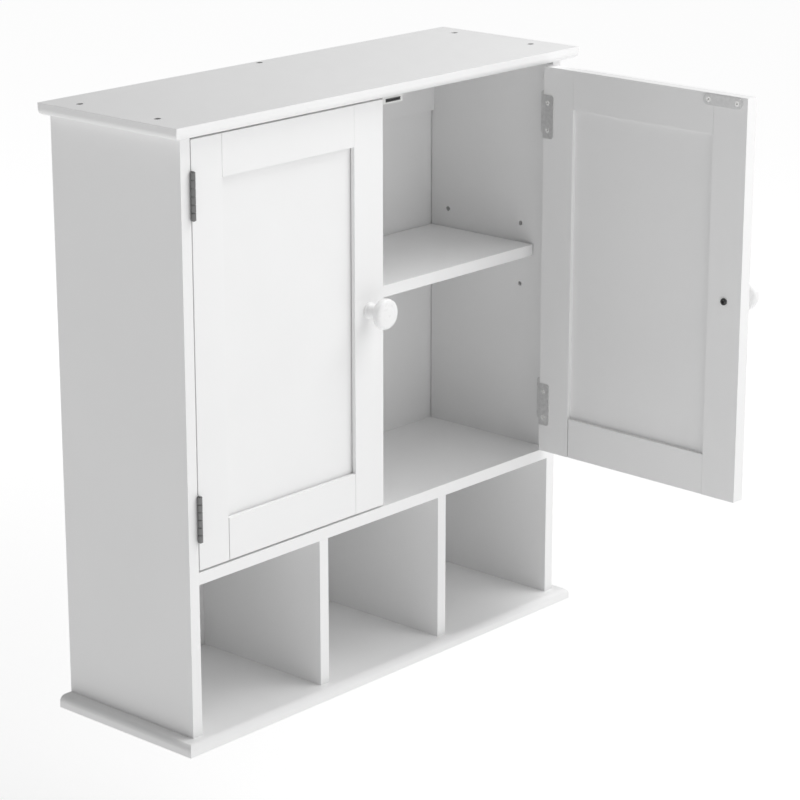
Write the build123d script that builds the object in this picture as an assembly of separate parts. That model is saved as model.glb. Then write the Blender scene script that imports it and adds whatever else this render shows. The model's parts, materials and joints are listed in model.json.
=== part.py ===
from build123d import *
import os

# Hanging wall cabinet: two framed doors over an adjustable shelf, three open cubbies below.
#
# Millimetres. +Z is up, +X is to the right as seen from the front, and the wall is the plane Y = 0,
# so the cabinet stands out from it towards -Y. Heights below are measured up from the underside of
# the bottom board; the finished pieces are then moved so that the origin is on the wall plane,
# midway between the two fixing holes of the hanging rail.
#
# The left door is closed. The right door stands open by RIGHT_DOOR_ANGLE.

# ---- Driving dimensions: the carcass -------------------------------------------------------------
OVERALL_WIDTH = 566.0
OVERALL_HEIGHT = 600.0
BOARD = 12.0  # thickness of every painted board
SIDE_DEPTH = 172.0  # front to rear edge of the side panels
SIDE_OVERHANG = 15.0  # top and bottom boards past the side panels
FRONT_OVERHANG = 12.0  # top and bottom boards past the front edges
EDGE_ROUND = 6.5  # quarter round under the top board's edge, and over the bottom board's
CUBBY_HEIGHT = 151.0
CUBBY_COUNT = 3
BACK_THICK = 3.0
BACK_INSET = 5.0  # rear face of the back panel, in front of the wall plane
GROOVE_DEPTH = 4.0  # how far the back panel enters the boards
GROOVE_SLACK = 0.5  # room at each edge of a panel in its grooves
GROOVE_PLAY = 1.0  # room in front of a panel in its grooves
RAIL_HEIGHT = 72.0
WALL_HOLE_SPACING = 320.0
WALL_HOLE_RADIUS = 2.5
WALL_SINK_RADIUS = 5.0

# ---- Driving dimensions: the adjustable shelf and its supports -----------------------------------
PIN_RADIUS = 2.5
PIN_HOLE_DEPTH = 8.0
PIN_ROW_MIDDLE = 379.5  # height of the row that holds the shelf
PIN_ROW_SPACING = 32.5
PIN_FRONT_SETBACK = 40.0  # behind the front edges
PIN_SPACING = 100.0
PIN_FLAT = 1.0  # flat top of a support, above its own centre line
PIN_REACH = 9.0
PIN_COLLAR_RADIUS = 4.0
PIN_COLLAR_THICK = 1.0
SHELF_DEPTH = 140.0
SHELF_SETBACK = 22.0
SHELF_SIDE_GAP = 1.5
SHELF_REST_GAP = 0.05

# ---- Driving dimensions: the doors ---------------------------------------------------------------
DOOR_THICK = 14.0
DOOR_HINGE_GAP = 1.4
DOOR_CENTRE_GAP = 2.1
DOOR_BOTTOM_GAP = 2.0
DOOR_TOP_GAP = 3.5
HINGE_STILE = 38.5
FREE_STILE = 40.0
TOP_RAIL = 40.0
BOTTOM_RAIL = 42.0
PANEL_THICK = 4.0
PANEL_SETBACK = 5.5  # front of the panel behind the front of the frame
PANEL_GROOVE = 8.0
SHOULDER_GAP = 0.2  # between a rail's shoulders and the stiles
OPEN_SHOULDER_GAP = 0.9  # the bottom rail's joint with the hinge stile, which stands open
RIGHT_DOOR_ANGLE = 89.0

# ---- Driving dimensions: hinges ------------------------------------------------------------------
HINGE_HEIGHT = 45.0
HINGE_END_DISTANCE = 51.0  # hinge centre from the door's end
KNUCKLES = 6  # on both leaves of a hinge
KNUCKLE_GAP = 0.6
KNUCKLE_RADIUS = 2.4
HINGE_PIN_RADIUS = 1.4
HINGE_PIN_PROUD = 0.4  # past each end of the knuckles
HINGE_PIN_DOME = 0.35
HINGE_RUNNING_CLEARANCE = 0.05
LEAF_THICK = 0.6
LEAF_CORNER = 3.0
FRAME_LEAF_DEPTH = 14.0
DOOR_LEAF_WIDTH = 13.0
BARREL_CLEARANCE = 0.15
LEAF_SCREW_SPACING = 28.0
LEAF_SCREW_SETBACK = 5.5
LEAF_SCREW = {"head_radius": 2.5, "shank_radius": 1.25, "length": 10.0}

# ---- Driving dimensions: knobs, catches, strikes -------------------------------------------------
KNOB_HEIGHT = 26.0
KNOB_RADIUS = 15.2
KNOB_BASE_RADIUS = 8.0
KNOB_BASE_THICK = 1.8
KNOB_NECK_RADIUS = 5.8
KNOB_SCREW_RADIUS = 2.0
KNOB_SCREW_BITE = 13.0  # screw length inside the knob
KNOB_HOLE_SPARE = 1.0  # hole past the screw's end
KNOB_SCREW_HEAD_RADIUS = 3.5
KNOB_SCREW_HEAD_HEIGHT = 2.2
KNOB_SCREW_HEAD_ROUND = 1.2
KNOB_SCREW_CROSS = 2.8  # head radius that its cross is cut for

CATCH_CENTRE = 31.0  # from the middle of the cabinet
CATCH_WIDTH = 30.0
CATCH_DEPTH = 15.0
CATCH_HEIGHT = 13.5
CATCH_CORNER = 1.5
CATCH_SLOT_WIDTH = 21.0
CATCH_SLOT_HEIGHT = 3.2
CATCH_SLOT_DEPTH = 8.0
POLE_THICK = 0.7
POLE_PROUD = 0.5
STRIKE_CENTRE = 30.0  # from the middle of the cabinet
STRIKE_LENGTH = 47.0
STRIKE_WIDTH = 11.0
STRIKE_THICK = 1.0
STRIKE_BELOW_DOOR_TOP = 6.5
STRIKE_SCREW_SPACING = 34.0
STRIKE_SCREW = {"head_radius": 2.8, "shank_radius": 1.4, "length": 10.0}
CATCH_GAP = 0.3  # between a closed door's strike and the pole plates
CATCH_SCREW_SPACING = 22.0
CATCH_SCREW_SETBACK = 3.5  # in front of the catch's rear face
CATCH_SCREW = {"head_radius": 2.6, "shank_radius": 1.3, "length": 24.0}

# ---- Driving dimensions: all screws, and the dowels ----------------------------------------------
SCREW_CLEARANCE = 0.05  # between any screw and its hole
HEAD_RIM = 0.3  # straight edge of a countersunk head, above its cone
CROSS_LENGTH = 1.05  # cross recess: its three sizes as shares of the head's radius
CROSS_WIDTH = 0.28
CROSS_DEPTH = 0.42
ASSEMBLY_SCREW = {"head_radius": 3.6, "shank_radius": 2.4, "length": 45.0}
ASSEMBLY_SCREW_SINK = 0.8  # head below the board's face
HEX_RECESS_RADIUS = 2.0
HEX_RECESS_DEPTH = 2.4
JOINT_FRONT_SETBACK = 35.0
JOINT_REAR_SETBACK = 138.0
DOWEL_RADIUS = 3.0
DOWEL_LENGTH = 24.0
DOWEL_IN_FACE = 8.0  # the part of a dowel that enters the face of a board
RAIL_DOWEL_PLACES = (0.2, 0.8)  # shares of the hanging rail's height

# ---- Modelling allowances --------------------------------------------------------------------------
BREAK_OUT = 1.0  # a cut runs this far past the face that it opens
PICK = 0.01  # edges nearer than this to a plane are on it

# ---- Worked-out places ---------------------------------------------------------------------------
HALF_WIDTH = OVERALL_WIDTH / 2
SIDE_OUTER = HALF_WIDTH - SIDE_OVERHANG
SIDE_INNER = SIDE_OUTER - BOARD
FRONT = -SIDE_DEPTH
TOP_UNDERSIDE = OVERALL_HEIGHT - BOARD
FIXED_SHELF_BOTTOM = BOARD + CUBBY_HEIGHT
FIXED_SHELF_TOP = FIXED_SHELF_BOTTOM + BOARD
BACK_REAR = -BACK_INSET
BACK_FRONT = BACK_REAR - BACK_THICK
RAIL_FRONT = -BOARD
RAIL_BOTTOM = TOP_UNDERSIDE - RAIL_HEIGHT
ORIGIN_HEIGHT = RAIL_BOTTOM + RAIL_HEIGHT / 2
RAIL_MIDDLE_Y = RAIL_FRONT / 2

CUBBY_WIDTH = (2 * SIDE_INNER - (CUBBY_COUNT - 1) * BOARD) / CUBBY_COUNT
DIVIDER_X = CUBBY_WIDTH / 2 + BOARD / 2

SHELF_BOTTOM = PIN_ROW_MIDDLE + PIN_FLAT + SHELF_REST_GAP
PIN_FRONT_Y = FRONT + PIN_FRONT_SETBACK
PIN_ROWS = [PIN_ROW_MIDDLE + row * PIN_ROW_SPACING for row in (-1, 0, 1)]
PIN_COLUMNS = [PIN_FRONT_Y, PIN_FRONT_Y + PIN_SPACING]

DOOR_HINGE_EDGE = -(SIDE_INNER - DOOR_HINGE_GAP)
DOOR_FREE_EDGE = -DOOR_CENTRE_GAP / 2
DOOR_BOTTOM = FIXED_SHELF_TOP + DOOR_BOTTOM_GAP
DOOR_TOP = TOP_UNDERSIDE - DOOR_TOP_GAP
DOOR_BACK = FRONT + DOOR_THICK
PANEL_FRONT = FRONT + PANEL_SETBACK
PANEL_BACK = PANEL_FRONT + PANEL_THICK
PANEL_GROOVE_FRONT = PANEL_FRONT - GROOVE_PLAY
STILE_INNER_HINGE = DOOR_HINGE_EDGE + HINGE_STILE
STILE_INNER_FREE = DOOR_FREE_EDGE - FREE_STILE
RAIL_INNER_BOTTOM = DOOR_BOTTOM + BOTTOM_RAIL
RAIL_INNER_TOP = DOOR_TOP - TOP_RAIL

HINGE_X = -(SIDE_INNER - DOOR_HINGE_GAP / 2)
HINGE_Y = FRONT - KNUCKLE_RADIUS
HINGE_CENTRES = {"lower": DOOR_BOTTOM + HINGE_END_DISTANCE, "upper": DOOR_TOP - HINGE_END_DISTANCE}

KNOB_X = DOOR_FREE_EDGE - FREE_STILE / 2
KNOB_Z = (DOOR_BOTTOM + DOOR_TOP) / 2
STRIKE_Z = DOOR_TOP - STRIKE_BELOW_DOOR_TOP
STRIKE_FACE = DOOR_BACK + STRIKE_THICK
CATCH_FRONT = STRIKE_FACE + CATCH_GAP + POLE_PROUD

JOINT_ROWS = [FRONT + JOINT_FRONT_SETBACK, FRONT + JOINT_REAR_SETBACK]
SIDE_MIDDLE_X = SIDE_INNER + BOARD / 2

UP = (0, 0, 1)
DOWN = (0, 0, -1)
RIGHT = (1, 0, 0)
FORWARD = (0, -1, 0)
REARWARD = (0, 1, 0)


# ---- Shapes used more than once ------------------------------------------------------------------
def block(x0, x1, y0, y1, z0, z1):
    """A box between two opposite corners."""
    centre = Pos((x0 + x1) / 2, (y0 + y1) / 2, (z0 + z1) / 2)
    return centre * Box(abs(x1 - x0), abs(y1 - y0), abs(z1 - z0))


def rod(start, direction, radius, length):
    """A cylinder from a point, along a direction."""
    return Plane(start, z_dir=direction) * extrude(Circle(radius), length)


def screw_blank(head_radius, shank_radius, length):
    """Countersunk screw without its recess: the top of the head at the origin, the point down -Z."""
    cone_bottom = shank_radius - head_radius - HEAD_RIM
    outline = Polyline(
        (0, 0),
        (head_radius, 0),
        (head_radius, -HEAD_RIM),
        (shank_radius, cone_bottom),
        (shank_radius, shank_radius - length),
        (0, -length),
        close=True,
    )
    return revolve(Plane.XZ * make_face(outline), Axis.Z)


def screw_hole(head_radius, shank_radius, length):
    """The hole for such a screw."""
    return screw_blank(
        head_radius + SCREW_CLEARANCE,
        shank_radius + SCREW_CLEARANCE,
        length + SCREW_CLEARANCE,
    )


def cross_recess(head_radius):
    """The cross that a screwdriver turns, cut into a head at the origin."""
    length = CROSS_LENGTH * head_radius
    width = CROSS_WIDTH * head_radius
    depth = CROSS_DEPTH * head_radius
    bars = Box(length, width, 2 * depth) + Box(width, length, 2 * depth)
    return Rot(0, 0, 45) * bars


def cross_screw(head_radius, shank_radius, length):
    """Countersunk screw with a cross recess."""
    return screw_blank(head_radius, shank_radius, length) - cross_recess(head_radius)


def hex_recess():
    """The socket of an assembly screw."""
    socket = extrude(RegularPolygon(HEX_RECESS_RADIUS, 6), HEX_RECESS_DEPTH + BREAK_OUT)
    return Pos(0, 0, -HEX_RECESS_DEPTH) * socket


def placed(shape, heads, outward):
    """Copies of a fastener with their heads at some points, all facing one direction."""
    return [Plane(head, z_dir=outward) * shape for head in heads]


def cut(shape, tools):
    """A shape with each tool taken away."""
    for tool in tools:
        shape = shape - tool
    return shape


# ---- Assembly screws, dowels and shelf supports ---------------------------------------------------
assembly_screw = screw_blank(**ASSEMBLY_SCREW) - hex_recess()
counterbore = rod(
    (0, 0, -HEAD_RIM),
    UP,
    ASSEMBLY_SCREW["head_radius"] + SCREW_CLEARANCE,
    HEAD_RIM + ASSEMBLY_SCREW_SINK + BREAK_OUT,
)
assembly_hole = screw_hole(**ASSEMBLY_SCREW) + counterbore

TOP_SCREW_SPOTS = [(side * SIDE_MIDDLE_X, y) for side in (-1, 1) for y in JOINT_ROWS] + [(0, RAIL_MIDDLE_Y)]
BOTTOM_SCREW_SPOTS = [
    (side * x, y) for x in (SIDE_MIDDLE_X, DIVIDER_X) for side in (-1, 1) for y in JOINT_ROWS
]
TOP_HEADS = [(x, y, OVERALL_HEIGHT - ASSEMBLY_SCREW_SINK) for x, y in TOP_SCREW_SPOTS]
BOTTOM_HEADS = [(x, y, ASSEMBLY_SCREW_SINK) for x, y in BOTTOM_SCREW_SPOTS]

top_screws = placed(assembly_screw, TOP_HEADS, UP)
top_screw_holes = placed(assembly_hole, TOP_HEADS, UP)
bottom_screws = placed(assembly_screw, BOTTOM_HEADS, DOWN)
bottom_screw_holes = placed(assembly_hole, BOTTOM_HEADS, DOWN)


def side_dowels(rows):
    """Dowels that run along X from the side panels into a board between them."""
    pieces = []
    for side in (-1, 1):
        for y, z in rows:
            start = (side * (SIDE_INNER + DOWEL_IN_FACE), y, z)
            pieces.append(rod(start, (-side, 0, 0), DOWEL_RADIUS, DOWEL_LENGTH))
    return pieces


shelf_dowels = side_dowels([(y, FIXED_SHELF_BOTTOM + BOARD / 2) for y in JOINT_ROWS])
rail_dowels = side_dowels([(RAIL_MIDDLE_Y, RAIL_BOTTOM + share * RAIL_HEIGHT) for share in RAIL_DOWEL_PLACES])
divider_dowels = [
    rod((side * DIVIDER_X, y, FIXED_SHELF_BOTTOM + DOWEL_IN_FACE), DOWN, DOWEL_RADIUS, DOWEL_LENGTH)
    for side in (-1, 1)
    for y in JOINT_ROWS
]

pin_holes = {
    (side, y, z): rod((side * SIDE_INNER, y, z), (side, 0, 0), PIN_RADIUS, PIN_HOLE_DEPTH)
    for side in (-1, 1)
    for y in PIN_COLUMNS
    for z in PIN_ROWS
}


def shelf_pin(side, y):
    """A support: a peg in the side panel, a collar against it, and a lug with a flat top."""
    z = PIN_ROW_MIDDLE
    peg = rod((side * SIDE_INNER, y, z), (side, 0, 0), PIN_RADIUS, PIN_HOLE_DEPTH)
    collar = rod((side * SIDE_INNER, y, z), (-side, 0, 0), PIN_COLLAR_RADIUS, PIN_COLLAR_THICK)
    lug = rod((side * SIDE_INNER, y, z), (-side, 0, 0), PIN_RADIUS, PIN_REACH)
    x0 = side * SIDE_INNER
    x1 = side * (SIDE_INNER - PIN_REACH)
    above = block(x0, x1, y - 2 * PIN_RADIUS, y + 2 * PIN_RADIUS, z + PIN_FLAT, z + 3 * PIN_RADIUS)
    return peg + ((collar + lug) - above)


shelf_pins = [shelf_pin(side, y) for side in (-1, 1) for y in PIN_COLUMNS]

# ---- Carcass boards ------------------------------------------------------------------------------
BACK_GROOVE = block(
    -SIDE_INNER - GROOVE_DEPTH,
    SIDE_INNER + GROOVE_DEPTH,
    BACK_FRONT - GROOVE_PLAY,
    BACK_REAR,
    BOARD - GROOVE_DEPTH,
    RAIL_BOTTOM + GROOVE_DEPTH,
)


def moulded_board(z0, rounded_z):
    """Top or bottom board: square edges at the back, a quarter round on one face's other edges."""
    board = block(-HALF_WIDTH, HALF_WIDTH, FRONT - FRONT_OVERHANG, 0, z0, z0 + BOARD)
    front_and_ends = [
        edge
        for edge in board.edges()
        if abs(edge.center().Z - rounded_z) < PICK and edge.center().Y < -PICK
    ]
    return fillet(front_and_ends, EDGE_ROUND)


def side_panel(side):
    """Side panel with the back panel's groove, shelf-pin holes and dowel holes."""
    board = block(side * SIDE_INNER, side * SIDE_OUTER, FRONT, 0, BOARD, TOP_UNDERSIDE)
    own_pin_holes = [hole for (hole_side, _, _), hole in pin_holes.items() if hole_side == side]
    joint_holes = shelf_dowels + rail_dowels + top_screw_holes + bottom_screw_holes
    return cut(board, [BACK_GROOVE] + own_pin_holes + joint_holes)


def divider(side):
    """Upright board between two cubbies."""
    x = side * DIVIDER_X
    board = block(x - BOARD / 2, x + BOARD / 2, FRONT, BACK_FRONT, BOARD, FIXED_SHELF_BOTTOM)
    return cut(board, divider_dowels + bottom_screw_holes)


def hanging_rail():
    """Rail under the top board, grooved for the back panel, with two countersunk wall holes."""
    board = block(-SIDE_INNER, SIDE_INNER, RAIL_FRONT, 0, RAIL_BOTTOM, TOP_UNDERSIDE)
    mouths = [(side * WALL_HOLE_SPACING / 2, RAIL_FRONT, ORIGIN_HEIGHT) for side in (-1, 1)]
    sink_depth = WALL_SINK_RADIUS - WALL_HOLE_RADIUS
    on_its_base = (Align.CENTER, Align.CENTER, Align.MIN)
    sink = Cone(WALL_SINK_RADIUS, WALL_HOLE_RADIUS, sink_depth, align=on_its_base)
    wall_hole = sink + rod((0, 0, 0), UP, WALL_HOLE_RADIUS, BOARD)
    wall_holes = placed(wall_hole, mouths, REARWARD)
    return cut(board, [BACK_GROOVE] + wall_holes + rail_dowels + top_screw_holes)


top_board = moulded_board(TOP_UNDERSIDE, TOP_UNDERSIDE)
bottom_board = moulded_board(0, BOARD)
fixed_shelf = block(-SIDE_INNER, SIDE_INNER, FRONT, BACK_FRONT, FIXED_SHELF_BOTTOM, FIXED_SHELF_TOP)
back_panel = block(
    -SIDE_INNER - GROOVE_DEPTH + GROOVE_SLACK,
    SIDE_INNER + GROOVE_DEPTH - GROOVE_SLACK,
    BACK_FRONT,
    BACK_REAR,
    BOARD - GROOVE_DEPTH + GROOVE_SLACK,
    RAIL_BOTTOM + GROOVE_DEPTH - GROOVE_SLACK,
)
adjustable_shelf = block(
    -SIDE_INNER + SHELF_SIDE_GAP,
    SIDE_INNER - SHELF_SIDE_GAP,
    FRONT + SHELF_SETBACK,
    FRONT + SHELF_SETBACK + SHELF_DEPTH,
    SHELF_BOTTOM,
    SHELF_BOTTOM + BOARD,
)

# ---- Magnetic catch for the left door, under the top board ----------------------------------------
CATCH_BOTTOM = TOP_UNDERSIDE - CATCH_HEIGHT
CATCH_REAR = CATCH_FRONT + CATCH_DEPTH
CATCH_HEADS = [
    (-CATCH_CENTRE + side * CATCH_SCREW_SPACING / 2, CATCH_REAR - CATCH_SCREW_SETBACK, CATCH_BOTTOM)
    for side in (-1, 1)
]
catch_screws = placed(cross_screw(**CATCH_SCREW), CATCH_HEADS, DOWN)
catch_screw_holes = placed(screw_hole(**CATCH_SCREW), CATCH_HEADS, DOWN)


def slot_block(z0, z1, proud):
    """A slab across the catch's slot, reaching out of its front face by some amount."""
    x0 = -CATCH_CENTRE - CATCH_SLOT_WIDTH / 2
    return block(x0, x0 + CATCH_SLOT_WIDTH, CATCH_FRONT - proud, CATCH_FRONT + CATCH_SLOT_DEPTH, z0, z1)


def catch_housing():
    """Plastic body with a slot in its front for the magnet and its two pole plates."""
    x0 = -CATCH_CENTRE - CATCH_WIDTH / 2
    body = block(x0, x0 + CATCH_WIDTH, CATCH_FRONT, CATCH_REAR, CATCH_BOTTOM, TOP_UNDERSIDE)
    body = fillet(body.edges().filter_by(Axis.Z), CATCH_CORNER)
    slot = slot_block(STRIKE_Z - CATCH_SLOT_HEIGHT / 2, STRIKE_Z + CATCH_SLOT_HEIGHT / 2, BREAK_OUT)
    return cut(body, [slot] + catch_screw_holes)


POLE_OFFSET = CATCH_SLOT_HEIGHT / 2 - POLE_THICK
catch_poles = [
    slot_block(STRIKE_Z + POLE_OFFSET, STRIKE_Z + POLE_OFFSET + POLE_THICK, POLE_PROUD),
    slot_block(STRIKE_Z - POLE_OFFSET - POLE_THICK, STRIKE_Z - POLE_OFFSET, POLE_PROUD),
]
catch_magnet = slot_block(STRIKE_Z - POLE_OFFSET, STRIKE_Z + POLE_OFFSET, 0)

# ---- Hinges of the left door ----------------------------------------------------------------------
KNUCKLE_PITCH = HINGE_HEIGHT / KNUCKLES
PLATE_START = HINGE_Y + KNUCKLE_RADIUS + BARREL_CLEARANCE  # clear of the other leaf's knuckles
FRAME_PLATE_X = (-SIDE_INNER, -SIDE_INNER + LEAF_THICK)
DOOR_PLATE_X = (DOOR_HINGE_EDGE - LEAF_THICK, DOOR_HINGE_EDGE)


def knuckle_spans(centre, first):
    """Heights of every second knuckle of a hinge."""
    bottom = centre - HINGE_HEIGHT / 2
    return [
        (bottom + k * KNUCKLE_PITCH + KNUCKLE_GAP / 2, bottom + (k + 1) * KNUCKLE_PITCH - KNUCKLE_GAP / 2)
        for k in range(first, KNUCKLES, 2)
    ]


def knuckles(centre, first, plate_x, bore):
    """A leaf's rolled knuckles, each with the tab that joins it to the plate."""
    pieces = []
    for z0, z1 in knuckle_spans(centre, first):
        barrel = rod((HINGE_X, HINGE_Y, z0), UP, KNUCKLE_RADIUS, z1 - z0)
        tab = block(*plate_x, HINGE_Y, PLATE_START + LEAF_THICK, z0, z1)
        bored = rod((HINGE_X, HINGE_Y, z0 - BREAK_OUT), UP, bore, z1 - z0 + 2 * BREAK_OUT)
        pieces.append((barrel + tab) - bored)
    return pieces


LEAF_SCREW_HEIGHTS = [
    centre + side * LEAF_SCREW_SPACING / 2 for centre in HINGE_CENTRES.values() for side in (-1, 1)
]
FRAME_LEAF_REAR = FRONT + FRAME_LEAF_DEPTH
DOOR_LEAF_END = DOOR_HINGE_EDGE + DOOR_LEAF_WIDTH
FRAME_LEAF_HEADS = [
    (-SIDE_INNER + LEAF_THICK, FRAME_LEAF_REAR - LEAF_SCREW_SETBACK, z) for z in LEAF_SCREW_HEIGHTS
]
DOOR_LEAF_HEADS = [
    (DOOR_HINGE_EDGE + LEAF_SCREW_SETBACK, DOOR_BACK + LEAF_THICK, z) for z in LEAF_SCREW_HEIGHTS
]
frame_leaf_screws = placed(cross_screw(**LEAF_SCREW), FRAME_LEAF_HEADS, RIGHT)
frame_leaf_holes = placed(screw_hole(**LEAF_SCREW), FRAME_LEAF_HEADS, RIGHT)
door_leaf_screws = placed(cross_screw(**LEAF_SCREW), DOOR_LEAF_HEADS, REARWARD)
door_leaf_holes = placed(screw_hole(**LEAF_SCREW), DOOR_LEAF_HEADS, REARWARD)


def frame_leaf(centre):
    """Leaf that lies flat on the inner face of the side panel."""
    z0 = centre - HINGE_HEIGHT / 2
    plate = block(*FRAME_PLATE_X, PLATE_START, FRAME_LEAF_REAR, z0, z0 + HINGE_HEIGHT)
    rear_corners = plate.edges().filter_by(Axis.X).group_by(Axis.Y)[-1]
    leaf = fillet(rear_corners, LEAF_CORNER)
    for piece in knuckles(centre, 1, FRAME_PLATE_X, HINGE_PIN_RADIUS):
        leaf = leaf + piece
    return cut(leaf, frame_leaf_holes)


def door_leaf(centre):
    """Leaf that wraps from the door's edge onto its back face."""
    z0 = centre - HINGE_HEIGHT / 2
    z1 = z0 + HINGE_HEIGHT
    rear = DOOR_BACK + LEAF_THICK
    edge_plate = block(*DOOR_PLATE_X, PLATE_START, rear, z0, z1)
    back_plate = block(DOOR_PLATE_X[0], DOOR_LEAF_END, DOOR_BACK, rear, z0, z1)
    inner_corners = back_plate.edges().filter_by(Axis.Y).group_by(Axis.X)[-1]
    leaf = edge_plate + fillet(inner_corners, LEAF_CORNER)
    for piece in knuckles(centre, 0, DOOR_PLATE_X, HINGE_PIN_RADIUS + HINGE_RUNNING_CLEARANCE):
        leaf = leaf + piece
    return cut(leaf, door_leaf_holes)


def hinge_pin(centre):
    """Pin through the knuckles, with a low dome at each end."""
    length = HINGE_HEIGHT + 2 * HINGE_PIN_PROUD
    pin = rod((HINGE_X, HINGE_Y, centre - length / 2), UP, HINGE_PIN_RADIUS, length)
    return fillet(pin.edges().filter_by(GeomType.CIRCLE), HINGE_PIN_DOME)


# ---- Left door, closed ----------------------------------------------------------------------------
STRIKE_HEADS = [
    (-STRIKE_CENTRE + side * STRIKE_SCREW_SPACING / 2, STRIKE_FACE, STRIKE_Z) for side in (-1, 1)
]
strike_screws = placed(cross_screw(**STRIKE_SCREW), STRIKE_HEADS, REARWARD)
strike_screw_holes = placed(screw_hole(**STRIKE_SCREW), STRIKE_HEADS, REARWARD)
KNOB_SCREW_LENGTH = DOOR_THICK + KNOB_SCREW_BITE
KNOB_HOLE = rod(
    (KNOB_X, DOOR_BACK, KNOB_Z),
    FORWARD,
    KNOB_SCREW_RADIUS + SCREW_CLEARANCE,
    KNOB_SCREW_LENGTH + KNOB_HOLE_SPARE,
)
PANEL_SPACE = block(
    STILE_INNER_HINGE - PANEL_GROOVE,
    STILE_INNER_FREE + PANEL_GROOVE,
    PANEL_GROOVE_FRONT,
    PANEL_BACK,
    RAIL_INNER_BOTTOM - PANEL_GROOVE,
    RAIL_INNER_TOP + PANEL_GROOVE,
)


def stile(x0, x1, inner_x, groove_end_x):
    """Full-height upright of the door, grooved along its inner edge."""
    board = block(x0, x1, FRONT, DOOR_BACK, DOOR_BOTTOM, DOOR_TOP)
    groove = block(inner_x, groove_end_x, PANEL_GROOVE_FRONT, PANEL_BACK, DOOR_BOTTOM, DOOR_TOP)
    return cut(board, [groove, KNOB_HOLE] + strike_screw_holes + door_leaf_holes)


def door_rail(z0, z1, tenon_z0, tenon_z1, hinge_side_gap):
    """Cross piece of the door, with a tenon at each end that fills the stile's groove."""
    x0 = STILE_INNER_HINGE + hinge_side_gap
    board = block(x0, STILE_INNER_FREE - SHOULDER_GAP, FRONT, DOOR_BACK, z0, z1)
    tenons = block(
        STILE_INNER_HINGE - PANEL_GROOVE,
        STILE_INNER_FREE + PANEL_GROOVE,
        PANEL_GROOVE_FRONT,
        PANEL_BACK,
        tenon_z0,
        tenon_z1,
    )
    return cut(board + tenons, [PANEL_SPACE] + strike_screw_holes)


# The knob's turned outline, from its flange to its face: shares of its radius and of its height.
KNOB_LIP = (0.97, 0.70)
KNOB_UNDERSIDE = [(KNOB_NECK_RADIUS / KNOB_RADIUS, 0.33), (0.66, 0.60), KNOB_LIP]
KNOB_HEAD = [KNOB_LIP, (1.0, 0.81), (0.965, 0.91), (0.85, 0.965), (0.5, 0.992), (0.0, 1.0)]
KNOB_LIP_SLOPE = (0.5, 1)


def knob_points(shares):
    """Points of the knob's outline, in millimetres."""
    return [(r * KNOB_RADIUS, h * KNOB_HEIGHT) for r, h in shares]


def knob():
    """Turned mushroom knob: thin flange, narrow neck, thick head with a nearly flat face."""
    flange_edge = (KNOB_BASE_RADIUS, KNOB_BASE_THICK)
    with BuildPart() as turned:
        with BuildSketch(Plane.XZ):
            with BuildLine():
                Polyline((0, 0), (KNOB_BASE_RADIUS, 0), flange_edge)
                Spline(flange_edge, *knob_points(KNOB_UNDERSIDE), tangents=[(-1, 0.8), KNOB_LIP_SLOPE])
                Spline(*knob_points(KNOB_HEAD), tangents=[KNOB_LIP_SLOPE, (-1, 0)])
                Line((0, KNOB_HEIGHT), (0, 0))
            make_face()
        revolve(axis=Axis.Z)
    return Plane((KNOB_X, FRONT, KNOB_Z), z_dir=FORWARD) * turned.part - KNOB_HOLE


def knob_screw():
    """Pan-head screw from the back of the door into the knob."""
    seat = (KNOB_X, DOOR_BACK, KNOB_Z)
    head = rod(seat, REARWARD, KNOB_SCREW_HEAD_RADIUS, KNOB_SCREW_HEAD_HEIGHT)
    rim = head.edges().filter_by(GeomType.CIRCLE).group_by(Axis.Y)[-1]
    head = fillet(rim, KNOB_SCREW_HEAD_ROUND)
    shank = rod(seat, FORWARD, KNOB_SCREW_RADIUS, KNOB_SCREW_LENGTH)
    top = (KNOB_X, DOOR_BACK + KNOB_SCREW_HEAD_HEIGHT, KNOB_Z)
    return cut(head + shank, placed(cross_recess(KNOB_SCREW_CROSS), [top], REARWARD))


def strike_plate():
    """Steel plate with round ends on the back of the door, opposite the catch."""
    face = Plane((-STRIKE_CENTRE, DOOR_BACK, STRIKE_Z), x_dir=RIGHT, z_dir=REARWARD)
    plate = face * extrude(SlotOverall(STRIKE_LENGTH, STRIKE_WIDTH), STRIKE_THICK)
    return cut(plate, strike_screw_holes)


left_door = {
    "hinge_stile": stile(
        DOOR_HINGE_EDGE, STILE_INNER_HINGE, STILE_INNER_HINGE, STILE_INNER_HINGE - PANEL_GROOVE
    ),
    "free_stile": stile(STILE_INNER_FREE, DOOR_FREE_EDGE, STILE_INNER_FREE, STILE_INNER_FREE + PANEL_GROOVE),
    "top_rail": door_rail(
        RAIL_INNER_TOP, DOOR_TOP, RAIL_INNER_TOP + PANEL_GROOVE, DOOR_TOP, SHOULDER_GAP
    ),
    "bottom_rail": door_rail(
        DOOR_BOTTOM, RAIL_INNER_BOTTOM, DOOR_BOTTOM, RAIL_INNER_BOTTOM - PANEL_GROOVE, OPEN_SHOULDER_GAP
    ),
    "panel": block(
        STILE_INNER_HINGE - PANEL_GROOVE + GROOVE_SLACK,
        STILE_INNER_FREE + PANEL_GROOVE - GROOVE_SLACK,
        PANEL_FRONT,
        PANEL_BACK,
        RAIL_INNER_BOTTOM - PANEL_GROOVE + GROOVE_SLACK,
        RAIL_INNER_TOP + PANEL_GROOVE - GROOVE_SLACK,
    ),
    "knob": knob(),
    "knob_screw": knob_screw(),
    "strike_plate": strike_plate(),
    "strike_screws": strike_screws,
    "upper_door_leaf": door_leaf(HINGE_CENTRES["upper"]),
    "lower_door_leaf": door_leaf(HINGE_CENTRES["lower"]),
    "door_leaf_screws": door_leaf_screws,
}

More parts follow.
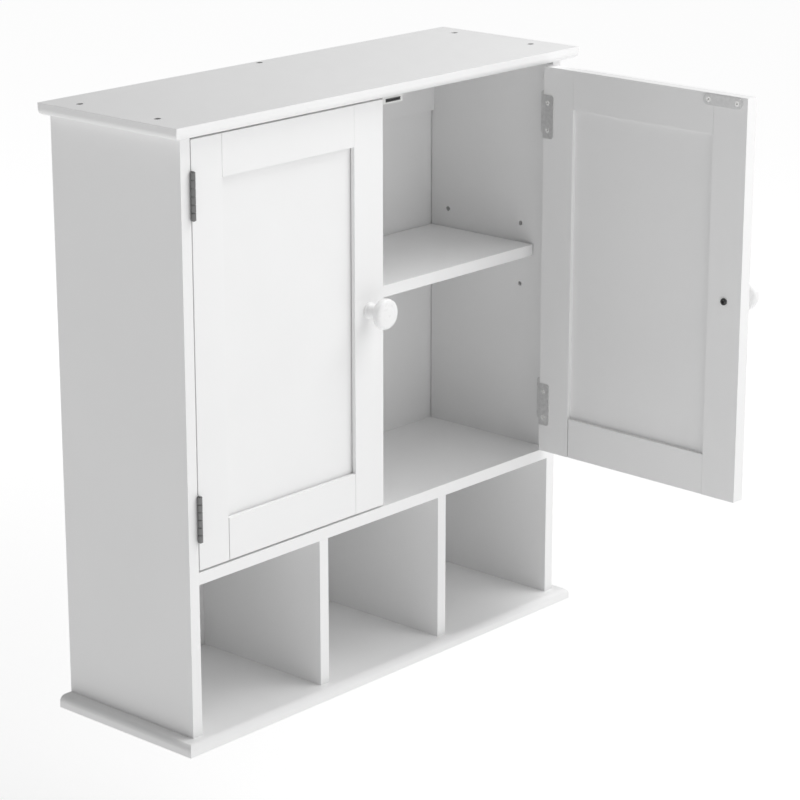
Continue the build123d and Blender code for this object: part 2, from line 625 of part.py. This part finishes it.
# What the left side of the carcass carries for its door; the right side has the mirror image.
left_fittings = {
    "upper_frame_leaf": frame_leaf(HINGE_CENTRES["upper"]),
    "lower_frame_leaf": frame_leaf(HINGE_CENTRES["lower"]),
    "upper_hinge_pin": hinge_pin(HINGE_CENTRES["upper"]),
    "lower_hinge_pin": hinge_pin(HINGE_CENTRES["lower"]),
    "catch_housing": catch_housing(),
    "catch_magnet": catch_magnet,
    "catch_poles": catch_poles,
}


# ---- Assembly --------------------------------------------------------------------------------------
def mirrored(shape):
    """The same piece for the right-hand side."""
    if isinstance(shape, list):
        return [mirrored(item) for item in shape]
    return mirror(shape, about=Plane.YZ)


def opened(shape):
    """A right-door piece, turned about its hinge pins."""
    if isinstance(shape, list):
        return [opened(item) for item in shape]
    return shape.rotate(Axis((-HINGE_X, HINGE_Y, 0), UP), RIGHT_DOOR_ANGLE)


both_catch_holes = catch_screw_holes + mirrored(catch_screw_holes)
nodes = {
    "top_board": cut(top_board, top_screw_holes + both_catch_holes),
    "bottom_board": cut(bottom_board, [BACK_GROOVE] + bottom_screw_holes),
    "left_side_panel": cut(side_panel(-1), frame_leaf_holes),
    "right_side_panel": cut(side_panel(1), mirrored(frame_leaf_holes)),
    "fixed_shelf": cut(fixed_shelf, shelf_dowels + divider_dowels),
    "left_divider": divider(-1),
    "right_divider": divider(1),
    "back_panel": back_panel,
    "hanging_rail": hanging_rail(),
    "adjustable_shelf": adjustable_shelf,
    "shelf_pins": shelf_pins,
    "top_screws": top_screws,
    "bottom_screws": bottom_screws,
    "shelf_dowels": shelf_dowels,
    "rail_dowels": rail_dowels,
    "divider_dowels": divider_dowels,
    "catch_screws": catch_screws + mirrored(catch_screws),
    "frame_leaf_screws": frame_leaf_screws + mirrored(frame_leaf_screws),
}
for name, shape in left_fittings.items():
    nodes["left_" + name] = shape
    nodes["right_" + name] = mirrored(shape)
for name, shape in left_door.items():
    nodes["left_" + name] = shape
    nodes["right_" + name] = opened(mirrored(shape))

os.makedirs("parts", exist_ok=True)
to_origin = Location((0, 0, -ORIGIN_HEIGHT))
for name, shape in nodes.items():
    items = shape if isinstance(shape, list) else [shape]
    solids = [solid.moved(to_origin) for item in items for solid in item.solids()]
    export_step(solids[0] if len(solids) == 1 else Compound(children=solids), f"parts/{name}.step")
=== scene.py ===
import json
import math

import bpy
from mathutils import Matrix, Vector


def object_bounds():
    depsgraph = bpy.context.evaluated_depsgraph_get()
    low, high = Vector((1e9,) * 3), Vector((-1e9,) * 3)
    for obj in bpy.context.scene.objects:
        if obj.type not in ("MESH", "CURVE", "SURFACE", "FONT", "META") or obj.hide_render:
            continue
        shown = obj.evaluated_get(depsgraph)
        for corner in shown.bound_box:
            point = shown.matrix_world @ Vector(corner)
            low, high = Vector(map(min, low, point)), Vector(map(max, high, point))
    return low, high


# A white hanging wall cabinet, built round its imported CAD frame. Metres, +Z up, front towards -Y.

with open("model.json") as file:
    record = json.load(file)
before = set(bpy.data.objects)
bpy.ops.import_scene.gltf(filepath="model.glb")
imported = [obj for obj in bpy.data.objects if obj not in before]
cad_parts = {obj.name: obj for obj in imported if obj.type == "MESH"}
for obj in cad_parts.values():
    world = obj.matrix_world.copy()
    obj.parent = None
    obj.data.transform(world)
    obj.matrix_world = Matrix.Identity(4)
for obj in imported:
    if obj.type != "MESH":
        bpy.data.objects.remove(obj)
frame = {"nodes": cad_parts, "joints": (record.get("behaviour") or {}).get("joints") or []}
cad_low, cad_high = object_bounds()
nodes = frame["nodes"]
scene = bpy.context.scene

# ---- Camera, light and floor ---------------------------------------------------------------------
CAMERA_PLACE = (-1.966, -1.959, 0.543)
CAMERA_AZIMUTH = -48.07
CAMERA_ELEVATION = 16.95
CAMERA_LENS = 127.2
CAMERA_CLIP = (0.05, 100.0)
SENSOR_WIDTH = 36.0

WORLD_COLOUR = (1.0, 1.0, 1.0, 1.0)
WORLD_STRENGTH = 0.28
LIGHT_TARGET = Vector((0, -0.2, -0.25))
LIGHT_SIZE = 1.5
LIGHTS = {
    "high right": {"place": (0.87, -0.70, 1.48), "power": 24.0},
    "front right": {"place": (0.87, -1.70, 0.75), "power": 5.0},
    "front": {"place": (0.0, -1.93, 0.75), "power": 6.0},
}

FLOOR_SIZE = 40.0
FLOOR_GAP = 0.4  # below the underside of the hanging cabinet
FLOOR_COLOUR = (0.93, 0.93, 0.93, 1.0)
FLOOR_ROUGHNESS = 0.7
FLOOR_SPECULAR = 0.1
GLOW_COLOUR = (1.0, 1.0, 1.0, 1.0)
GLOW_STRENGTH = (0.31, 0.71)  # close to the cabinet, and far from it
GLOW_REACH = (0.6, 2.6)  # distances from the origin between which the glow rises

# ---- Finishes: colours, roughness, relief heights in metres, noise scales per metre --------------
PAINTS = {  # light and dark colour, roughness, height of the orange peel, scale of the clouding
    "board_paint": ((0.885, 0.885, 0.885), (0.87, 0.87, 0.87), 0.46, 2.0e-5, 9.0),
    "panel_paint": ((0.88, 0.88, 0.88), (0.865, 0.865, 0.865), 0.50, 2.4e-5, 11.0),
    "knob_paint": ((0.885, 0.885, 0.885), (0.875, 0.875, 0.875), 0.30, 1.2e-6, 30.0),
}
PAINT_SPECULAR = 0.45
PAINT_GLOSS = 7  # scale of the changes in gloss, in scales of the clouding
FINE_PEEL = 900.0
BROAD_PEEL = 120.0
BROAD_PEEL_HEIGHT = 1.6  # in heights of the fine peel

METALS = {  # light and dark colour, roughness, height of the rolling lines, metallic
    "zinc_screws": ((0.93, 0.93, 0.92), (0.86, 0.86, 0.85), 0.22, 3e-6, 0.5),
    "dark_screws": ((0.10, 0.10, 0.10), (0.05, 0.05, 0.05), 0.42, 4e-6, 1.0),
    "pin_steel": ((0.66, 0.66, 0.65), (0.52, 0.52, 0.51), 0.26, 3e-6, 1.0),
    "strike_steel": ((0.76, 0.76, 0.76), (0.68, 0.68, 0.68), 0.36, 3e-6, 0.25),
    "pole_steel": ((0.20, 0.20, 0.20), (0.13, 0.13, 0.13), 0.40, 5e-6, 1.0),
}
ROLLING_LINES = (4200.0, 4200.0, 160.0)  # they run along Z
METAL_BLOTCHES = 260.0

HINGE_STEEL = ((0.80, 0.80, 0.80), (0.68, 0.68, 0.68), 0.34, 6e-6)  # the first four, as in METALS
# painted shade: the colour given to the hinge knuckles round the pins
KNUCKLE_SHADE_COLOUR = (0.20, 0.20, 0.20)
KNUCKLE_EDGE = (0.0024, 0.0030)  # distances from the pins' axis between which the painted shade ends

MOULDED = {  # light and dark colour, roughness, height of the texture
    "magnet": ((0.035, 0.035, 0.037), (0.02, 0.02, 0.021), 0.62, 2.0e-5),
    "catch_plastic": ((0.83, 0.83, 0.82), (0.79, 0.79, 0.78), 0.38, 1.2e-5),
}
MOULDED_CLOUDS = 90.0
MOULDED_GLOSS = 500.0
MOULDED_TEXTURE = 2600.0

BEECH_COLOURS = ((0.62, 0.44, 0.26), (0.47, 0.30, 0.16))
BEECH_ROUGHNESS = 0.6
GRAIN = (60.0, 900.0, 900.0)  # it runs along X
GRAIN_CONTRAST = (0.35, 0.65)  # levels of the noise between which the colour changes
GRAIN_HEIGHT = 5e-5

COAT_STRAYS = (-0.04, 0.05)  # how far the roughness of paint and plastic strays, down and up
METAL_STRAYS = (-0.06, 0.08)  # and that of metal

# ---- Eased edges, in metres ----------------------------------------------------------------------
CAD_SHADING = ("custom_normal", "sharp_edge")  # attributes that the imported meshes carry
MERGE_DISTANCE = 1e-5
FLAT_ANGLE = math.radians(0.5)  # faces that turn less than this become one
EDGE_ANGLE = math.radians(35)  # edges that turn more than this are eased
NORMAL_WEIGHT = 100  # large faces set the direction of the shading
EASES = {  # by the end of a piece's name: width, segments
    "_board": (0.0005, 3),
    "_side_panel": (0.0005, 3),
    "_divider": (0.0005, 3),
    "_shelf": (0.0005, 3),
    "_rail": (0.0005, 3),
    "_stile": (0.0005, 3),
    "_leaf": (0.00012, 2),
    "_housing": (0.0004, 3),
    "_plate": (0.0002, 2),
}


# ---- Surfaces made of nodes ----------------------------------------------------------------------
class Surface:
    """A material built from nodes, which grows from the object's own coordinates, in metres."""

    def __init__(self, name):
        self.material = bpy.data.materials.new(name)
        self.material.use_nodes = True
        self.tree = self.material.node_tree
        self.shader = self.tree.nodes["Principled BSDF"]
        self.place = self.tree.nodes.new("ShaderNodeTexCoord").outputs["Object"]

    def stretched(self, scale):
        """The coordinates, scaled differently along each axis."""
        mapping = self.tree.nodes.new("ShaderNodeMapping")
        mapping.inputs["Scale"].default_value = scale
        self.tree.links.new(self.place, mapping.inputs["Vector"])
        return mapping.outputs["Vector"]

    def noise(self, scale, detail, roughness=0.5, place=None):
        """Noise of that scale, at the coordinates or at another place."""
        node = self.tree.nodes.new("ShaderNodeTexNoise")
        node.inputs["Scale"].default_value = scale
        node.inputs["Detail"].default_value = detail
        node.inputs["Roughness"].default_value = roughness
        self.tree.links.new(place or self.place, node.inputs["Vector"])
        return node.outputs["Fac"]

    def spread(self, value, low, high, start=0.3, end=0.7):
        """The value, moved from start..end to low..high."""
        node = self.tree.nodes.new("ShaderNodeMapRange")
        node.inputs["From Min"].default_value = start
        node.inputs["From Max"].default_value = end
        node.inputs["To Min"].default_value = low
        node.inputs["To Max"].default_value = high
        self.tree.links.new(value, node.inputs["Value"])
        return node.outputs["Result"]

    def colours(self, value, first, second):
        """A mix of two colours: the first where the value is 0, the second where it is 1."""
        node = self.tree.nodes.new("ShaderNodeMix")
        node.data_type = "RGBA"
        node.inputs["A"].default_value = (*first, 1.0)
        node.inputs["B"].default_value = (*second, 1.0)
        self.tree.links.new(value, node.inputs["Factor"])
        return node.outputs["Result"]

    def darker_of(self, first, second):
        """The darker of two colours."""
        node = self.tree.nodes.new("ShaderNodeMix")
        node.data_type = "RGBA"
        node.blend_type = "DARKEN"
        node.inputs["Factor"].default_value = 1.0
        self.tree.links.new(first, node.inputs["A"])
        self.tree.links.new(second, node.inputs["B"])
        return node.outputs["Result"]

    def vector_math(self, operation, first, second=None):
        """The operation on a linked vector, and on a constant one if it takes two."""
        node = self.tree.nodes.new("ShaderNodeVectorMath")
        node.operation = operation
        self.tree.links.new(first, node.inputs[0])
        if second:
            node.inputs[1].default_value = second
        return node.outputs["Value" if operation == "LENGTH" else "Vector"]

    def bump(self, height, distance, under=None):
        """Relief of that distance in metres, over other relief if there is some under it."""
        node = self.tree.nodes.new("ShaderNodeBump")
        node.inputs["Strength"].default_value = 1.0
        node.inputs["Distance"].default_value = distance
        self.tree.links.new(height, node.inputs["Height"])
        if under:
            self.tree.links.new(under, node.inputs["Normal"])
        return node.outputs["Normal"]

    def uneven(self, value, rough, strays):
        """Sets a roughness that strays with the value."""
        below, above = strays
        self.set(Roughness=self.spread(value, rough + below, rough + above))

    def set(self, **values):
        """Sets or links sockets of the shader, named with _ for a space."""
        for name, value in values.items():
            socket = self.shader.inputs[name.replace("_", " ")]
            if isinstance(value, bpy.types.NodeSocket):
                self.tree.links.new(value, socket)
            else:
                socket.default_value = value


# ---- The camera, the light and the floor ---------------------------------------------------------
def view_direction(azimuth, elevation):
    """The way the camera looks from that azimuth, 0 along +Y and 90 along -X, and elevation."""
    turn = math.radians(azimuth)
    rise = math.radians(elevation)
    return Vector((-math.sin(turn) * math.cos(rise), math.cos(turn) * math.cos(rise), -math.sin(rise)))


def add_camera():
    data = bpy.data.cameras.new("camera")
    data.sensor_width = SENSOR_WIDTH
    data.lens = CAMERA_LENS
    data.clip_start, data.clip_end = CAMERA_CLIP
    camera = bpy.data.objects.new("camera", data)
    scene.collection.objects.link(camera)
    camera.location = CAMERA_PLACE
    camera.rotation_mode = "QUATERNION"
    camera.rotation_quaternion = view_direction(CAMERA_AZIMUTH, CAMERA_ELEVATION).to_track_quat("-Z", "Y")
    scene.camera = camera


def add_world():
    world = bpy.data.worlds.new("world")
    world.use_nodes = True
    background = world.node_tree.nodes["Background"]
    background.inputs["Color"].default_value = WORLD_COLOUR
    background.inputs["Strength"].default_value = WORLD_STRENGTH
    scene.world = world


def add_light(name, place, power):
    """A round soft lamp that faces the middle of the cabinet."""
    data = bpy.data.lights.new(name, "AREA")
    data.shape = "DISK"
    data.size = LIGHT_SIZE
    data.energy = power
    lamp = bpy.data.objects.new(name, data)
    scene.collection.objects.link(lamp)
    lamp.location = place
    lamp.rotation_mode = "QUATERNION"
    lamp.rotation_quaternion = (LIGHT_TARGET - lamp.location).to_track_quat("-Z", "Y")


def add_floor():
    """A pale floor, below the hanging cabinet, that glows a little more far away."""
    half = FLOOR_SIZE / 2
    z = cad_low.z - FLOOR_GAP
    mesh = bpy.data.meshes.new("floor")
    corners = [(-half, -half, z), (half, -half, z), (half, half, z), (-half, half, z)]
    mesh.from_pydata(corners, [], [(0, 1, 2, 3)])
    floor = bpy.data.objects.new("floor", mesh)
    scene.collection.objects.link(floor)
    s = Surface("floor")
    glow = s.spread(s.vector_math("LENGTH", s.place), *GLOW_STRENGTH, *GLOW_REACH)
    s.set(Base_Color=FLOOR_COLOUR, Roughness=FLOOR_ROUGHNESS, Specular_IOR_Level=FLOOR_SPECULAR)
    s.set(Emission_Color=GLOW_COLOUR, Emission_Strength=glow)
    mesh.materials.append(s.material)


# ---- Materials -----------------------------------------------------------------------------------
def paint(name, light, dark, rough, peel, drift):
    """Sprayed paint: faint clouding, uneven gloss, and orange peel, fine and broad."""
    s = Surface(name)
    cloud = s.spread(s.noise(drift, detail=3.0), 0.0, 1.0)
    s.set(Base_Color=s.colours(cloud, light, dark))
    s.uneven(s.noise(drift * PAINT_GLOSS, detail=4.0), rough, COAT_STRAYS)
    fine = s.bump(s.noise(FINE_PEEL, detail=2.0), peel)
    both = s.bump(s.noise(BROAD_PEEL, detail=2.0), peel * BROAD_PEEL_HEIGHT, under=fine)
    s.set(Normal=both, Specular_IOR_Level=PAINT_SPECULAR)
    return s.material


def rolled(s, rough, grain, metallic):
    """Gives a surface rolling lines and uneven gloss, and returns its blotches, from 0 to 1."""
    blotch = s.noise(METAL_BLOTCHES, detail=4.0)
    lines = s.noise(1.0, detail=3.0, place=s.stretched(ROLLING_LINES))
    s.uneven(blotch, rough, METAL_STRAYS)
    s.set(Normal=s.bump(lines, grain), Metallic=metallic)
    return s.spread(blotch, 0.0, 1.0)


def metal(name, light, dark, rough, grain, metallic):
    """Plated or coated steel."""
    s = Surface(name)
    blotch = rolled(s, rough, grain, metallic)
    s.set(Base_Color=s.colours(blotch, light, dark))
    return s.material


def hinge_metal(name, light, dark, rough, grain):
    """Plated steel whose knuckles, round the pins of both doors' hinges, are coloured dark as painted
    shade.
    """
    s = Surface(name)
    blotch = rolled(s, rough, grain, metallic=1.0)
    plated = s.colours(blotch, light, dark)
    swing = next(joint for joint in frame["joints"] if joint["name"] == "right_door_swing")
    axis = [abs(distance) for distance in swing["pos_m"]]
    offset = s.vector_math("SUBTRACT", s.vector_math("ABSOLUTE", s.place), axis)
    radius = s.vector_math("LENGTH", s.vector_math("MULTIPLY", offset, (1.0, 1.0, 0.0)))
    # painted shade: the knuckles close to the pins' axis are coloured dark
    painted_knuckle_shade = s.colours(s.spread(radius, 0.0, 1.0, *KNUCKLE_EDGE), KNUCKLE_SHADE_COLOUR, light)
    s.set(Base_Color=s.darker_of(plated, painted_knuckle_shade))
    return s.material


def moulded(name, light, dark, rough, texture):
    """Moulded plastic or pressed magnet, with a fine even texture."""
    s = Surface(name)
    cloud = s.spread(s.noise(MOULDED_CLOUDS, detail=3.0), 0.0, 1.0)
    s.set(Base_Color=s.colours(cloud, light, dark))
    s.uneven(s.noise(MOULDED_GLOSS, detail=2.0), rough, COAT_STRAYS)
    s.set(Normal=s.bump(s.noise(MOULDED_TEXTURE, detail=2.0), texture))
    return s.material


def wood(name, light, dark):
    """Beech with straight grain along X."""
    s = Surface(name)
    grain = s.noise(1.0, detail=5.0, roughness=0.6, place=s.stretched(GRAIN))
    s.set(Base_Color=s.colours(s.spread(grain, 0.0, 1.0, *GRAIN_CONTRAST), light, dark))
    s.set(Roughness=BEECH_ROUGHNESS, Normal=s.bump(grain, GRAIN_HEIGHT))
    return s.material


def make_materials():
    """Every finish, by the name that its slots have in the frame."""
    made = {name: paint(name, *values) for name, values in PAINTS.items()}
    made["hinge_steel"] = hinge_metal("hinge_steel", *HINGE_STEEL)
    for name, values in METALS.items():
        made[name] = metal(name, *values)
    for name, values in MOULDED.items():
        made[name] = moulded(name, *values)
    made["beech"] = wood("beech", *BEECH_COLOURS)
    return made


# ---- Modifiers that ease the edges ---------------------------------------------------------------
def welding_group():
    """Geometry nodes that join the faces of a CAD mesh along their edges."""
    group = bpy.data.node_groups.new("welded", "GeometryNodeTree")
    group.interface.new_socket("Geometry", in_out="INPUT", socket_type="NodeSocketGeometry")
    group.interface.new_socket("Geometry", in_out="OUTPUT", socket_type="NodeSocketGeometry")
    chain = [group.nodes.new("NodeGroupInput")]
    for attribute in CAD_SHADING:
        plain = group.nodes.new("GeometryNodeRemoveAttribute")
        plain.inputs["Name"].default_value = attribute
        chain.append(plain)
    merge = group.nodes.new("GeometryNodeMergeByDistance")
    merge.inputs["Distance"].default_value = MERGE_DISTANCE
    chain += [merge, group.nodes.new("NodeGroupOutput")]
    for before, after in zip(chain, chain[1:]):
        group.links.new(before.outputs["Geometry"], after.inputs["Geometry"])
    return group


def ease_edges(obj, width, segments, group):
    """Rounds an object's sharp edges a little, as sanding and paint leave them."""
    weld = obj.modifiers.new("weld", "NODES")
    weld.node_group = group
    flat = obj.modifiers.new("flat", "DECIMATE")
    flat.decimate_type = "DISSOLVE"
    flat.angle_limit = FLAT_ANGLE
    bevel = obj.modifiers.new("ease", "BEVEL")
    bevel.width = width
    bevel.segments = segments
    bevel.limit_method = "ANGLE"
    bevel.angle_limit = EDGE_ANGLE
    bevel.miter_outer = "MITER_ARC"
    shade = obj.modifiers.new("shade", "WEIGHTED_NORMAL")
    shade.mode = "FACE_AREA"
    shade.weight = NORMAL_WEIGHT
    shade.keep_sharp = True


# ---- The scene -----------------------------------------------------------------------------------
materials = make_materials()
for name, node in nodes.items():
    for slot in node.material_slots:
        finish = slot.material.name.split(".")[0]
        if name.endswith("_knob_screw"):
            finish = "dark_screws"
        slot.material = materials[finish]

welded = welding_group()
for name, node in nodes.items():
    for ending, (width, segments) in EASES.items():
        if name.endswith(ending):
            ease_edges(node, width, segments, welded)

add_camera()
add_world()
for name, light in LIGHTS.items():
    add_light(name, **light)
add_floor()
scene.view_settings.view_transform = "Standard"
